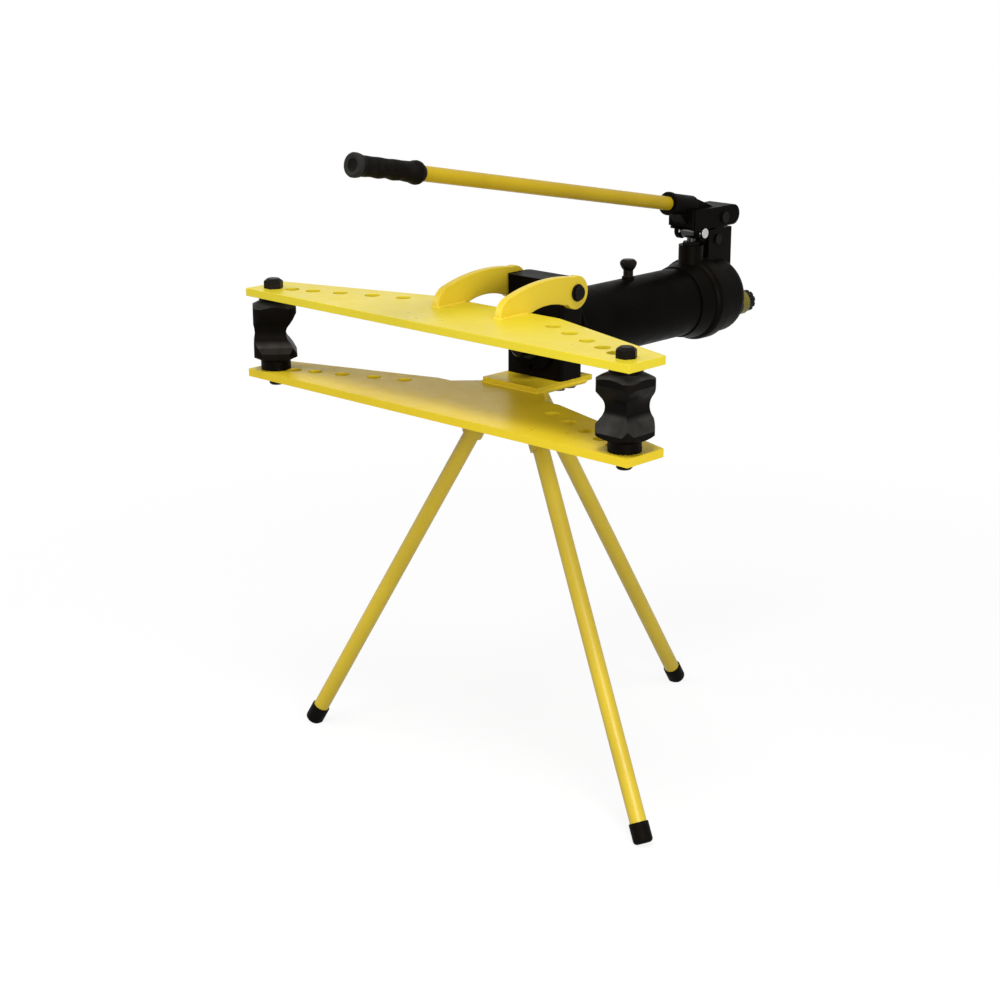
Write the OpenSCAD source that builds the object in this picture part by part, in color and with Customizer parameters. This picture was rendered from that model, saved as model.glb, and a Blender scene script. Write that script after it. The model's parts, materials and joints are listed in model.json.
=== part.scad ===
// Hydraulic pipe bender on a tripod: two tapered wings with rollers, a ram between them, a hand pump behind.
// Millimetres, +Z up. X runs along the wings, the ram pushes towards -Y, and the floor is at Z = 0.

/* [Wings] */
// Length of a wing plate from tip to tip
wing_len = 760; // [640:5:900]
// Depth of a wing at its tips
wing_end_w = 75; // [66:1:90]
// Depth of a wing at its middle
wing_mid_w = 157; // [145:1:175]
// Length of the straight back edge in the middle
wing_mid_len = 244; // [200:2:280]
// Thickness of a wing plate
plate_t = 12; // [8:0.5:16]
// Clear height between the wings
wing_gap = 114; // [104:1:126]
// How far the lower wing's neck runs back behind the wing
neck_len = 48; // [30:1:60]
// Width of the neck
neck_w = 116; // [112:1:130]
// Size of the corner gussets beside the neck
neck_gusset = 38; // [10:1:45]
// Width of the tail behind the neck that carries the rear leg
tail_w = 36; // [34:1:48]
// Length of that tail
tail_len = 46; // [40:1:60]

/* [Roller pins] */
// Diameter of a roller pin
pin_d = 22; // [18:0.5:24]
// Gap between a roller pin and the holes it stands in, on the radius
pin_clear = 0.4; // [0.3:0.1:0.8]
// Distance of the outermost pin holes from the wing's tips
hole_inset = 30; // [26:0.5:40]
// Distance of the outermost pin holes from the front edge
outer_hole_y = 30; // [24:1:36]
// Distances from hole to hole along the wing, from the tip inwards
hole_steps = [29, 33, 42, 49, 47];
// Rise of the row of holes towards the middle
hole_row_slope = 0.41; // [0.3:0.01:0.48]
// Width of the hexagon head across its corners
pin_head_d = 30; // [26:0.5:36]
// Height of the head
pin_head_h = 15; // [8:0.5:20]
// Length of the tip below the lower wing
pin_tip = 12.5; // [4:0.5:20]

/* [Rollers] */
// Width of a roller across its grooved sides
roller_side = 66; // [60:1:68]
// Radius to which the roller's corners are turned
roller_corner_r = 39.5; // [36:0.5:40]
// Diameter of the collars above and below
roller_collar_d = 46; // [40:1:50]
// Height of the lower collar
roller_low_collar = 14; // [10:0.5:20]
// Height of the upper collar
roller_top_collar = 7; // [5:0.5:12]
// Height of the turned cone that runs out to each lip
roller_bevel = 8; // [4:0.5:12]
// Gap above and below a roller
roller_play = 0.5; // [0.3:0.1:1]
// Radii of the pipe grooves in the sides that face +X, +Y, -X and -Y
groove_r = [26, 60, 34, 20];
// Depths of those grooves
groove_depth = [17, 2, 11.5, 16.5];
// Heights of their mouths
groove_mouth = [62, 44, 60, 64];
// Height of the pipe's centre line above the middle of the gap
pipe_line_up = 2; // [0:0.5:6]
// Rest angle of the left roller about its pin
left_roller_turn = 140; // [90:1:180]

/* [Stand] */
// Height of the lower wing's underside above the floor
stand_h = 582; // [450:2:700]
// Diameter of a leg tube
leg_d = 25; // [20:0.5:26]
// Wall of a leg tube
leg_wall = 2; // [1.5:0.1:3]
// Where the left foot stands: to the right of the middle, and behind the wings' front edge
left_foot = [-328, 65];
// Where the right foot stands
right_foot = [353, 87];
// Where the rear foot stands
rear_foot = [-4, 616];
// Distance of a front leg's top from the middle
leg_top_x = 33; // [30:1:36]
// Distance of a front leg's top from the front edge
leg_top_y = 188; // [184:1:190]
// Distance of the rear leg's top from the front edge
rear_top_y = 239; // [236:1:242]
// Thickness of the plate that carries the leg sockets
head_t = 8; // [5:0.5:12]
// Wall of a leg socket
socket_wall = 4; // [2.5:0.5:5]
// Length of a leg socket
socket_len = 62; // [40:1:90]
// Length of a rubber foot
foot_len = 31; // [26:1:50]
// Wall of a rubber foot
foot_wall = 2; // [1.6:0.2:4]
// Thickness of rubber under the end of a leg
foot_sole = 11; // [10:0.5:14]
// Radius of a foot's lower edge
foot_toe = 6; // [3:0.5:7]
// Depth to which a foot is worn flat
foot_flat = 5; // [4:0.5:7]

/* [Saddle and block] */
// Thickness of the saddle plate under the block
saddle_t = 8; // [6:0.5:12]
// Distance of the saddle plate's front from the wings' front edge
saddle_front = 184; // [170:1:195]
// Length of the saddle plate behind the block
saddle_behind = 22; // [0:1:30]
// Width of the block and saddle plate
block_w = 110; // [106:1:116]
// Distance of the block's front face from the wings' front edge
block_front = 236; // [230:1:242]
// Depth of the block along the ram
block_len = 50; // [50:1:80]
// Height of the block
block_h = 150; // [146:1:170]
// Corner radius of the block
block_r = 7; // [2:0.5:12]
// Diameter of the bolts that hold the block
bolt_d = 12; // [10:1:14]
// Length of those bolts in the block
bolt_grip = 28; // [20:1:32]
// Height of a bolt head
bolt_head_h = 8; // [6:0.5:10]
// Distance of the bolts from the middle
bolt_x = 40; // [38:0.5:42]
// Distance of the bolts from the block's front and rear faces
bolt_inset = 13; // [12:0.5:13.5]

/* [Hinge] */
// Distance of the hinge pin behind the block's front face
hinge_in = 20; // [17:0.5:30]
// Height of the hinge pin above the upper wing
hinge_up = 16; // [14:0.5:18]
// Diameter of the hinge pin
hinge_pin_d = 21; // [18:0.5:24]
// Thickness of a hinge arm
arm_t = 12; // [10:0.5:20]
// Gap between the block and an arm
arm_gap = 1; // [0.5:0.1:3]
// Radius of the arm's eye
arm_eye_r = 25; // [22:0.5:28]
// Radius of the arm's nose
arm_nose_r = 30; // [26:0.5:34]
// Height of the arm's crown above the upper wing
arm_crown = 43.5; // [42:0.5:48]
// Radius of that crown
arm_crown_r = 300; // [280:5:400]
// Distance of the crown from the wings' front edge
arm_crown_y = 205; // [195:1:215]
// Rise of the arch under the arm
arm_arch = 6; // [4:0.5:10]
// Thickness of the spring clips on the hinge pin
clip_t = 2; // [1:0.2:3]

/* [Ram] */
// Diameter of the ram
ram_d = 45; // [40:0.5:48]
// Running gap of the ram in its gland, on the radius
ram_clear = 0.06; // [0.02:0.01:0.1]
// Diameter of the nose that takes a bending former
nose_d = 30; // [24:0.5:36]
// Length of the nose
nose_len = 24; // [16:1:30]
// Length of the ram in front of the block at rest
ram_out = 12; // [8:0.5:16]
// Stroke of the ram
ram_stroke = 250; // [200:5:270]
// Bore of the pressure cylinder
bore_d = 57; // [54:0.5:60]
// Wall of the pressure cylinder
bore_wall = 5.5; // [4:0.5:7]
// Length of the piston
piston_len = 24; // [18:1:30]
// Bore of the hollow ram, where the return spring runs
spring_room_d = 27; // [24:0.5:29]
// Mean radius of the return spring
spring_r = 9.5; // [8:0.25:10.5]
// Wire diameter of the return spring
spring_wire = 3; // [2:0.25:3.5]
// Distance of the spring's front end behind the block's front face
spring_in = 64; // [56:1:70]
// Length of the anchor rod behind the spring
anchor_len = 66; // [60:1:74]
// Turns of the return spring
spring_turns = 20; // [12:1:24]

/* [Tank and pump] */
// Outer diameter of the tank tube
tank_d = 110; // [100:1:120]
// Gap between the pressure cylinder and the tank's wall below it
cylinder_gap = 2; // [1:0.5:4]
// Wall of the tank tube
tank_wall = 6; // [4:0.5:8]
// Length of the tank tube between the block and the pump casting
tank_len = 320; // [300:1:345]
// Wall of the pump casting round the tank tube
casting_wall = 7; // [5:0.5:10]
// How far the flange round the casting's front stands out
flange_rise = 5; // [3:0.5:8]
// Length of that flange
flange_len = 30; // [20:1:36]
// Radius of the flange's front shoulder
flange_r = 12; // [6:0.5:14]
// Length of the tapered collar that runs forward on the tank
collar_len = 30; // [16:1:36]
// Length of the pump casting
casting_len = 86; // [80:1:100]
// Radius of the casting's rear edge
casting_r = 20; // [8:1:24]
// Depth of the tank tube in the collar
tube_socket = 24; // [18:0.5:26]
// Depth of the pressure cylinder in the casting
cylinder_socket = 18; // [12:0.5:22]
// Diameter of the round pump boss
pump_boss_d = 40; // [38:0.5:44]
// Distance of the plunger behind the casting's front
plunger_in = 8; // [6:0.5:14]
// Diameter of the pump plunger
plunger_d = 14; // [10:0.5:16]
// Height of the pump boss above the upper wing
tower_up = 35; // [32:0.5:36]
// Height of the plunger pin above the upper wing
plunger_pin_up = 56; // [55:0.5:60]
// Diameter of the plunger pin
plunger_pin_d = 10; // [8:0.5:12]
// Distance of the lever's fulcrum behind the plunger
fulcrum_arm = 54; // [52:0.5:56]
// Height of the fulcrum above the plunger pin
fulcrum_rise = 19.5; // [18:0.5:21]
// Diameter of the fulcrum pin
fulcrum_pin_d = 12; // [10:0.5:14]
// Width of the post that carries the fulcrum
post_w = 32; // [28:1:34]
// Length of the post along the ram
post_len = 60; // [50:1:62]
// Distance of the post's cross pin below the fulcrum
post_pin_down = 36; // [34:0.5:40]
// Radius of the post's round top
post_r = 12; // [11:0.5:12.5]

/* [Lever and handle] */
// Thickness of the lever's cheeks
cheek_t = 7.5; // [5:0.5:10]
// Gap between the lever's cheeks and the post
cheek_gap = 1.5; // [0.5:0.1:2]
// Gap of the plunger pin in the lever's slot, on the radius
slot_clear = 0.9; // [0.8:0.1:1.2]
// Reach of the slot to each side of the pin
slot_reach = 6; // [5:0.5:7]
// Upward tilt of the handle
handle_tilt = 10.5; // [0:0.5:30]
// Diameter of the handle tube
handle_d = 22; // [18:0.5:25]
// Wall of the handle tube
handle_wall = 2.5; // [1.5:0.1:4]
// Length of the handle outside its socket
handle_len = 688; // [500:1:850]
// Distance of the socket's mouth in front of the casting
socket_mouth = 55; // [45:1:65]
// Height of the socket's mouth above the upper wing
socket_up = 108; // [104:1:114]
// Wall of the handle socket
handle_socket_wall = 6; // [4:0.5:8]
// Depth of the handle in its socket
handle_in = 52; // [40:1:54]
// Length of the rubber grip
grip_len = 132; // [110:1:180]
// Diameter of the grip between its flanges
grip_d = 29; // [27:0.5:34]
// Diameter of the grip's flanges
grip_flange_d = 34; // [33:0.5:42]

/* [Valve and filler] */
// Distance of the release valve below the tank's axis
valve_down = 15; // [10:0.5:18]
// Distance of the release valve to the right of the middle
valve_x = 30; // [26:0.5:32]
// Diameter of the release valve's collar
valve_collar_d = 40; // [34:0.5:42]
// Length of that collar
valve_collar_len = 21; // [14:1:45]
// Diameter of the release knob
knob_d = 35; // [28:0.5:38]
// Length of the release knob
knob_len = 17; // [14:0.5:30]
// Diameter of the knob's spindle
spindle_d = 14; // [10:0.5:16]
// Distance of the filler behind the block
filler_in = 170; // [100:1:210]
// Diameter of the filler cap
filler_d = 25; // [20:0.5:30]
// Height of the filler cap above the tank's boss
filler_h = 27; // [24:0.5:36]

/* [Hidden] */
$fn = 72;
// Gap of fixed pieces in their seats, and of moving ones that aren't a fit, on the radius
seat_clear = 0.1;
free_clear = 0.3;
over = 1;

// Heights
low_top = stand_h + plate_t;
up_bottom = low_top + wing_gap;
up_top = up_bottom + plate_t;
block_bottom = low_top + saddle_t;
ram_z = low_top + wing_gap / 2 + pipe_line_up;
cylinder_d = bore_d + 2 * bore_wall;
tank_up = tank_d / 2 - tank_wall - cylinder_d / 2 - cylinder_gap;
tank_z = ram_z + tank_up;
casting_d = tank_d + 2 * casting_wall;
flange_d = casting_d + 2 * flange_rise;

// Pin holes' distances from the middle, from the tip inwards
outer_hole_x = wing_len / 2 - hole_inset;
function sum_to(list, n) = n < 0 ? 0 : list[n] + sum_to(list, n - 1);
hole_xs = [for (i = [-1:len(hole_steps) - 1]) outer_hole_x - sum_to(hole_steps, i)];

// Distances behind the wings' front edge
block_rear = block_front + block_len;
casting_front = block_rear + tank_len;
casting_rear = casting_front + casting_len;
tube_end = casting_front - collar_len + tube_socket;
hinge_y = block_front + hinge_in;
hinge_z = up_top + hinge_up;
arm_x = block_w / 2 + arm_gap;
arm_y = wing_mid_w;

// Pump lever
plunger_y = casting_front + plunger_in;
plunger_z = up_top + plunger_pin_up;
fulcrum_y = plunger_y + fulcrum_arm;
fulcrum_z = plunger_z + fulcrum_rise;
slot_angle = atan2(fulcrum_rise, fulcrum_arm);
tower_top = up_top + tower_up;
post_behind = 32;
post_rear = fulcrum_y + post_behind;
post_front = post_rear - post_len;
shoulder_down = 7;
post_shoulder = fulcrum_z - post_r - shoulder_down;
post_root = tank_z + 10;
rib_top = up_top + 12;
cheek_x = post_w / 2 + cheek_gap;
lever_x = cheek_x + cheek_t;
web_under = post_r + cheek_gap;
web_t = 5;
lever_low = 14;
lever_tail = 40;
lug_r = plunger_pin_d / 2 + 8;
eye_r = plunger_pin_d / 2 + 6;
pin_button_t = 3;
plunger_len = 62;
gland_depth = 55;
mouth_y = casting_front - socket_mouth;
mouth_z = up_top + socket_up;
socket_d = handle_d + 2 * handle_socket_wall;
socket_floor = 8;
handle_total = handle_len + handle_in;

// Gland in the block's front
gland_flange_t = 6;
gland_d = 70;
gland_flange_d = 84;
gland_in = 30;
wiper_groove_d = ram_d + 8;
wiper_t = 6;
cylinder_front = block_front + gland_in + 4;
cylinder_end = casting_front + cylinder_socket;
ram_front = block_front - ram_out;
piston_rear = cylinder_end - 6;
piston_front = piston_rear - piston_len;
piston_spigot_d = 38;
seal_in = 3.4;
seal_t = 7;
spring_front = block_front + spring_in;
spring_rear = cylinder_end - anchor_len;
anchor_d = 12;

// Release valve and filler
valve_z = tank_z - valve_down;
valve_depth = 36;
ball_d = 10;
knob_rear = casting_rear + valve_collar_len + knob_len;
filler_y = block_rear + filler_in;
boss_rise = 3;
boss_top = tank_z + tank_d / 2 + boss_rise;
boss_d = 20;
filler_bore = 12;

// The origin is midway between the grip's end and the release knob's end
fore_y = mouth_y - handle_len * cos(handle_tilt) - grip_flange_d / 2 * sin(handle_tilt);
front_y = -(fore_y + knob_rear) / 2;

paint_yellow = "#e8c02a";
paint_black = "#26231f";
bare_steel = "#b9babd";
rubber_black = "#1c1c1c";

// Moves a piece from the wings' front edge to the part's own frame
module from_front_edge() translate([0, front_y, 0]) children();

// Stands a cylinder along +Y
module along_y(y, z, d, h, x = 0) translate([x, y, z]) rotate([-90, 0, 0]) cylinder(d = d, h = h);

// Lays a cylinder along X, centred on x = 0
module across_x(y, z, d, w) translate([-w / 2, y, z]) rotate([0, 90, 0]) cylinder(d = d, h = w);

// Extrudes a side view, given as (y, z), between two planes of x
module side_view(x0, x1) translate([x0, 0, 0]) rotate([90, 0, 90]) linear_extrude(x1 - x0) children();

function sq(v) = v * v;

module rounded_rect(w, h, r) {
    translate([r, 0]) square([w - 2 * r, h]);
    translate([0, r]) square([w, h - 2 * r]);
    for (x = [r, w - r], y = [r, h - r]) translate([x, y]) circle(r);
}

// Distance of a pin hole from the front edge, by its distance from the middle
function hole_y(x) = outer_hole_y + (outer_hole_x - x) * hole_row_slope;

module pin_holes(z) {
    for (x = hole_xs, side = [-1, 1])
        translate([side * x, hole_y(x), z - over])
            cylinder(r = pin_d / 2 + pin_clear, h = plate_t + 2 * over);
}

// Half outline of a wing from its tip to the middle of its back edge
function wing_half() = [[wing_len / 2, 0], [wing_len / 2, wing_end_w], [wing_mid_len / 2, wing_mid_w]];
function mirrored(points) = [for (i = [len(points) - 1:-1:0]) [-points[i][0], points[i][1]]];

module wing_outline(back = []) {
    half = concat(wing_half(), back);
    polygon(concat(half, mirrored(half)));
}

module lower_wing_plate() color(paint_yellow) from_front_edge() {
    neck_end = wing_mid_w + neck_len;
    neck = [[neck_w / 2 + neck_gusset, wing_mid_w], [neck_w / 2, wing_mid_w + neck_gusset],
            [neck_w / 2, neck_end], [tail_w / 2, neck_end], [tail_w / 2, neck_end + tail_len]];
    difference() {
        translate([0, 0, stand_h]) linear_extrude(plate_t) wing_outline(neck);
        pin_holes(stand_h);
    }
}

module upper_wing_plate() color(paint_yellow) from_front_edge() difference() {
    translate([0, 0, up_bottom]) linear_extrude(plate_t) wing_outline();
    pin_holes(up_bottom);
}

// The four bolts stand in two rows near the block's front and rear
module at_bolts() {
    for (x = [-bolt_x, bolt_x], y = [block_front + bolt_inset, block_rear - bolt_inset])
        translate([x, y, 0]) children();
}

module saddle_plate() color(paint_yellow) from_front_edge() difference() {
    translate([-block_w / 2, saddle_front, low_top]) cube([block_w, block_rear + saddle_behind - saddle_front, saddle_t]);
    at_bolts() translate([0, 0, low_top - over]) cylinder(d = bolt_d + 2 * seat_clear, h = saddle_t + 2 * over);
}

// Side view of a hinge arm: a round nose that runs into a crowned back, an arch behind the wing and an eye for the pin
module arm_profile() {
    nose_y = arm_crown_y - sqrt(sq(arm_crown_r - arm_nose_r) - sq(arm_crown_r - arm_crown));
    meet_y = nose_y - (arm_crown_y - nose_y) * arm_nose_r / (arm_crown_r - arm_nose_r);
    arch_half = (hinge_y - arm_eye_r - arm_y) / 2;
    arch_r = (sq(arch_half) + sq(arm_arch)) / (2 * arm_arch);
    difference() {
        union() {
            intersection() {
                translate([meet_y, up_top]) square([hinge_y - meet_y, arm_crown]);
                translate([arm_crown_y, up_top + arm_crown - arm_crown_r]) circle(arm_crown_r, $fn = 360);
            }
            intersection() {
                translate([nose_y - arm_nose_r, up_top]) square([2 * arm_nose_r, arm_nose_r]);
                translate([nose_y, up_top]) circle(arm_nose_r);
            }
        }
        translate([arm_y + arch_half, up_top + arm_arch - arch_r]) circle(arch_r);
    }
    translate([hinge_y, hinge_z]) circle(arm_eye_r);
}

module hinge_arm(x0) color(paint_yellow) from_front_edge() difference() {
    side_view(x0, x0 + arm_t) arm_profile();
    across_x(hinge_y, hinge_z, hinge_pin_d + 2 * free_clear, 2 * (arm_x + arm_t + over));
}

module hinge_arm_left() hinge_arm(-arm_x - arm_t);
module hinge_arm_right() hinge_arm(arm_x);

// The pin stands proud of the arms, with a groove for a spring clip at each end
pin_half = arm_x + arm_t + 3 * clip_t + 1;
clip_x = arm_x + arm_t + 1;
clip_groove_d = hinge_pin_d - 3;
clip_rim = 2.5;

module hinge_pin() color(paint_black) from_front_edge() difference() {
    across_x(hinge_y, hinge_z, hinge_pin_d, 2 * pin_half);
    for (side = [-1, 1]) difference() {
        translate([side * (clip_x + clip_t / 2), 0, 0])
            across_x(hinge_y, hinge_z, hinge_pin_d + 2 * over, clip_t + 2 * seat_clear);
        across_x(hinge_y, hinge_z, clip_groove_d, 3 * pin_half);
    }
}

module hinge_pin_clips() color(bare_steel) from_front_edge() {
    for (side = [-1, 1]) difference() {
        translate([side * (clip_x + clip_t / 2), 0, 0]) across_x(hinge_y, hinge_z, hinge_pin_d + 2 * clip_rim, clip_t);
        across_x(hinge_y, hinge_z, clip_groove_d + 2 * seat_clear, 3 * pin_half);
    }
}

module cylinder_block() color(paint_black) from_front_edge() {
    spigot_d = tank_d - 2 * tank_wall - 2 * seat_clear;
    difference() {
        union() {
            translate([-block_w / 2, block_front, block_bottom]) linear_extrude(block_h)
                rounded_rect(block_w, block_len, block_r);
            along_y(block_rear - over, tank_z, spigot_d, over + 6);
        }
        along_y(block_front - over, ram_z, gland_d + 2 * seat_clear, gland_in + over);
        along_y(block_front, ram_z, bore_d, block_len);
        along_y(cylinder_front, ram_z, cylinder_d + 2 * seat_clear, block_len + tank_len);
        across_x(hinge_y, hinge_z, hinge_pin_d + 2 * free_clear, block_w + 2 * over);
        at_bolts() translate([0, 0, block_bottom - over])
            cylinder(d = bolt_d + 2 * seat_clear, h = bolt_grip + over + 2);
    }
}

module block_bolts() color(paint_black) from_front_edge() at_bolts() {
    translate([0, 0, low_top - bolt_head_h]) cylinder(d = 1.75 * bolt_d, h = bolt_head_h, $fn = 6);
    translate([0, 0, low_top - over]) cylinder(d = bolt_d, h = over + saddle_t + bolt_grip);
}

module gland_nut() color(paint_black) from_front_edge() difference() {
    union() {
        along_y(block_front - gland_flange_t, ram_z, gland_flange_d, gland_flange_t);
        along_y(block_front - over, ram_z, gland_d, gland_in + over);
    }
    along_y(block_front - gland_flange_t - over, ram_z, ram_d + 2 * ram_clear, gland_in + gland_flange_t + 2 * over);
    along_y(block_front - gland_flange_t + 2, ram_z, wiper_groove_d, wiper_t);
    for (a = [0:90:270]) translate([0, 0, ram_z]) rotate([0, a, 0])
        along_y(block_front - gland_flange_t - over, 0, 7, gland_flange_t, gland_flange_d / 2 - 7);
}

module rod_wiper() color(rubber_black) from_front_edge() difference() {
    along_y(block_front - gland_flange_t + 2, ram_z, wiper_groove_d - 2 * seat_clear, wiper_t);
    along_y(block_front - gland_flange_t, ram_z, ram_d + 2 * free_clear, wiper_t + 2 * over);
}

module tank_tube() color(paint_black) from_front_edge() difference() {
    along_y(block_rear, tank_z, tank_d, tube_end - block_rear);
    along_y(block_rear - over, tank_z, tank_d - 2 * tank_wall, tube_end - block_rear + 2 * over);
    translate([0, filler_y, tank_z]) cylinder(d = filler_bore, h = tank_d);
}

module pressure_cylinder() color(bare_steel) from_front_edge() difference() {
    along_y(cylinder_front, ram_z, cylinder_d, cylinder_end - cylinder_front);
    along_y(cylinder_front - over, ram_z, bore_d, cylinder_end - cylinder_front + 2 * over);
}

module ram() color(bare_steel) from_front_edge() difference() {
    union() {
        translate([0, ram_front - nose_len, ram_z]) rotate([-90, 0, 0])
            cylinder(d1 = nose_d - 4, d2 = nose_d, h = 2);
        along_y(ram_front - nose_len + 2, ram_z, nose_d, nose_len);
        translate([0, ram_front, ram_z]) rotate([-90, 0, 0]) cylinder(d1 = ram_d - 3, d2 = ram_d, h = 1.5);
        along_y(ram_front + 1.5, ram_z, ram_d, piston_front - ram_front - 1.5);
        along_y(piston_front - over, ram_z, piston_spigot_d, piston_len + over);
    }
    along_y(spring_front - 4, ram_z, spring_room_d, piston_rear);
}

module piston() color(bare_steel) from_front_edge() difference() {
    along_y(piston_front, ram_z, bore_d - 2 * free_clear, piston_len);
    along_y(piston_front - over, ram_z, piston_spigot_d + 2 * seat_clear, piston_len + 2 * over);
    difference() {
        along_y(piston_front + piston_len - seal_t - 5, ram_z, bore_d + over, seal_t);
        along_y(piston_front, ram_z, bore_d - 2 * seal_in, piston_len);
    }
}

module piston_seal() color(rubber_black) from_front_edge() difference() {
    along_y(piston_front + piston_len - seal_t - 5, ram_z, bore_d - 2 * free_clear, seal_t);
    along_y(piston_front, ram_z, bore_d - 2 * seal_in + 2 * seat_clear, piston_len);
}

// One unbroken wire wound about the ram's axis: rings of points along a helix, joined ring to ring
module return_spring() color(bare_steel) from_front_edge() {
    sides = 6;
    rings = 10 * spring_turns;
    span = spring_rear - spring_front - spring_wire;
    points = [for (i = [0:rings], k = [0:sides - 1])
        let (a = 360 * i * spring_turns / rings, b = 360 * k / sides,
             r = spring_r + spring_wire / 2 * cos(b))
        [r * cos(a), spring_front + spring_wire / 2 + span * i / rings + spring_wire / 2 * sin(b), ram_z + r * sin(a)]];
    walls = [for (i = [0:rings - 1], k = [0:sides - 1])
        let (a = i * sides + k, b = i * sides + (k + 1) % sides)
        each [[a, b, b + sides], [a, b + sides, a + sides]]];
    cap_0 = [for (k = [1:sides - 2]) [0, k + 1, k]];
    cap_1 = [for (k = [1:sides - 2]) [rings * sides, rings * sides + k, rings * sides + k + 1]];
    polyhedron(points, concat(walls, cap_0, cap_1));
}

module spring_anchor() color(bare_steel) from_front_edge() {
    along_y(spring_rear, ram_z, anchor_d, cylinder_end - spring_rear + 8);
    along_y(spring_rear, ram_z, 2 * (spring_r + spring_wire / 2), 5);
}

// Half section of the casting, as (radius, distance behind its front): a tapered collar on the tank, a groove,
// a flange with a round shoulder, and a body with a round rear edge
module casting_section() {
    r = casting_d / 2;
    fr = flange_d / 2;
    groove_w = 3;
    polygon([[0, -collar_len], [tank_d / 2 + 2, -collar_len], [r, -groove_w], [r - 2, -groove_w], [r - 2, 0],
             [fr - flange_r, 0], [fr, flange_r], [fr, flange_len], [r, flange_len + flange_rise],
             [r, casting_len - casting_r], [r - casting_r, casting_len], [0, casting_len]]);
    translate([fr - flange_r, flange_r]) circle(flange_r);
    translate([r - casting_r, casting_len - casting_r]) circle(casting_r);
}

// The casting carries a round boss for the plunger and a post for the fulcrum
module pump_casting() color(paint_black) from_front_edge() {
    difference() {
        union() {
            translate([0, casting_front, tank_z]) rotate([-90, 0, 0]) rotate_extrude() casting_section();
            translate([0, plunger_y, tank_z]) cylinder(d = pump_boss_d, h = tower_top - tank_z);
            side_view(-post_w / 2, post_w / 2) {
                translate([post_front, post_root]) square([post_len, post_shoulder - post_root]);
                translate([fulcrum_y - post_r, post_root]) square([2 * post_r, fulcrum_z - post_root]);
                translate([fulcrum_y, fulcrum_z]) circle(post_r);
                translate([plunger_y, tank_z]) square([post_front - plunger_y + over, rib_top - tank_z]);
            }
            along_y(casting_rear - casting_r, valve_z, valve_collar_d + 4, casting_r, valve_x);
        }
        along_y(casting_front - collar_len - over, tank_z, tank_d + 2 * seat_clear, tube_socket + over);
        along_y(tube_end - over, ram_z, cylinder_d + 2 * seat_clear, cylinder_end - tube_end + over);
        along_y(cylinder_end - over, ram_z, anchor_d + 2 * seat_clear, 9 + over);
        translate([0, plunger_y, tower_top - gland_depth - 2])
            cylinder(d = plunger_d + 10 + 2 * seat_clear, h = gland_depth + 2 + over);
        across_x(fulcrum_y, fulcrum_z, fulcrum_pin_d + 2 * seat_clear, post_w + 2 * over);
        across_x(post_pin_y, post_pin_z, post_pin_d + 2 * seat_clear, post_w + 2 * over);
        along_y(casting_rear - valve_depth, valve_z, spindle_d + 2 * free_clear, valve_depth + over, valve_x);
    }
}

// A riveted cross pin through the foot of the post
post_pin_d = 10;
post_pin_fore = 5;
post_pin_y = fulcrum_y - post_pin_fore;
post_pin_z = fulcrum_z - post_pin_down;

module post_pin() color(bare_steel) from_front_edge() {
    across_x(post_pin_y, post_pin_z, post_pin_d, post_w + 1);
    for (side = [-1, 1]) translate([side * (post_w / 2 + pin_button_t / 2), 0, 0])
        across_x(post_pin_y, post_pin_z, post_pin_d + 6, pin_button_t);
}

module plunger_gland() color(bare_steel) from_front_edge() difference() {
    translate([0, plunger_y, 0]) {
        translate([0, 0, tower_top]) cylinder(d = plunger_d + 15, h = 5, $fn = 6);
        translate([0, 0, tower_top - gland_depth]) cylinder(d = plunger_d + 10, h = gland_depth + over);
    }
    translate([0, plunger_y, tower_top - gland_depth - over])
        cylinder(r = plunger_d / 2 + ram_clear, h = gland_depth + 10);
}

// A round plunger with an eye for its cross pin
module pump_plunger() color(bare_steel) from_front_edge() difference() {
    union() {
        translate([0, plunger_y, plunger_z - plunger_len]) cylinder(d = plunger_d, h = plunger_len);
        across_x(plunger_y, plunger_z, 2 * eye_r, 2 * cheek_x - 10);
    }
    across_x(plunger_y, plunger_z, plunger_pin_d + 2 * seat_clear, 3 * cheek_x);
}

// A cross pin with a button at each end
module cross_pin(y, z, d) {
    across_x(y, z, d, 2 * lever_x + 1);
    for (side = [-1, 1]) translate([side * (lever_x + free_clear + pin_button_t / 2), 0, 0])
        across_x(y, z, d + 6, pin_button_t);
}

module plunger_pin() color(bare_steel) from_front_edge() cross_pin(plunger_y, plunger_z, plunger_pin_d);
module fulcrum_pin() color(paint_black) from_front_edge() cross_pin(fulcrum_y, fulcrum_z, fulcrum_pin_d);

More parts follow.
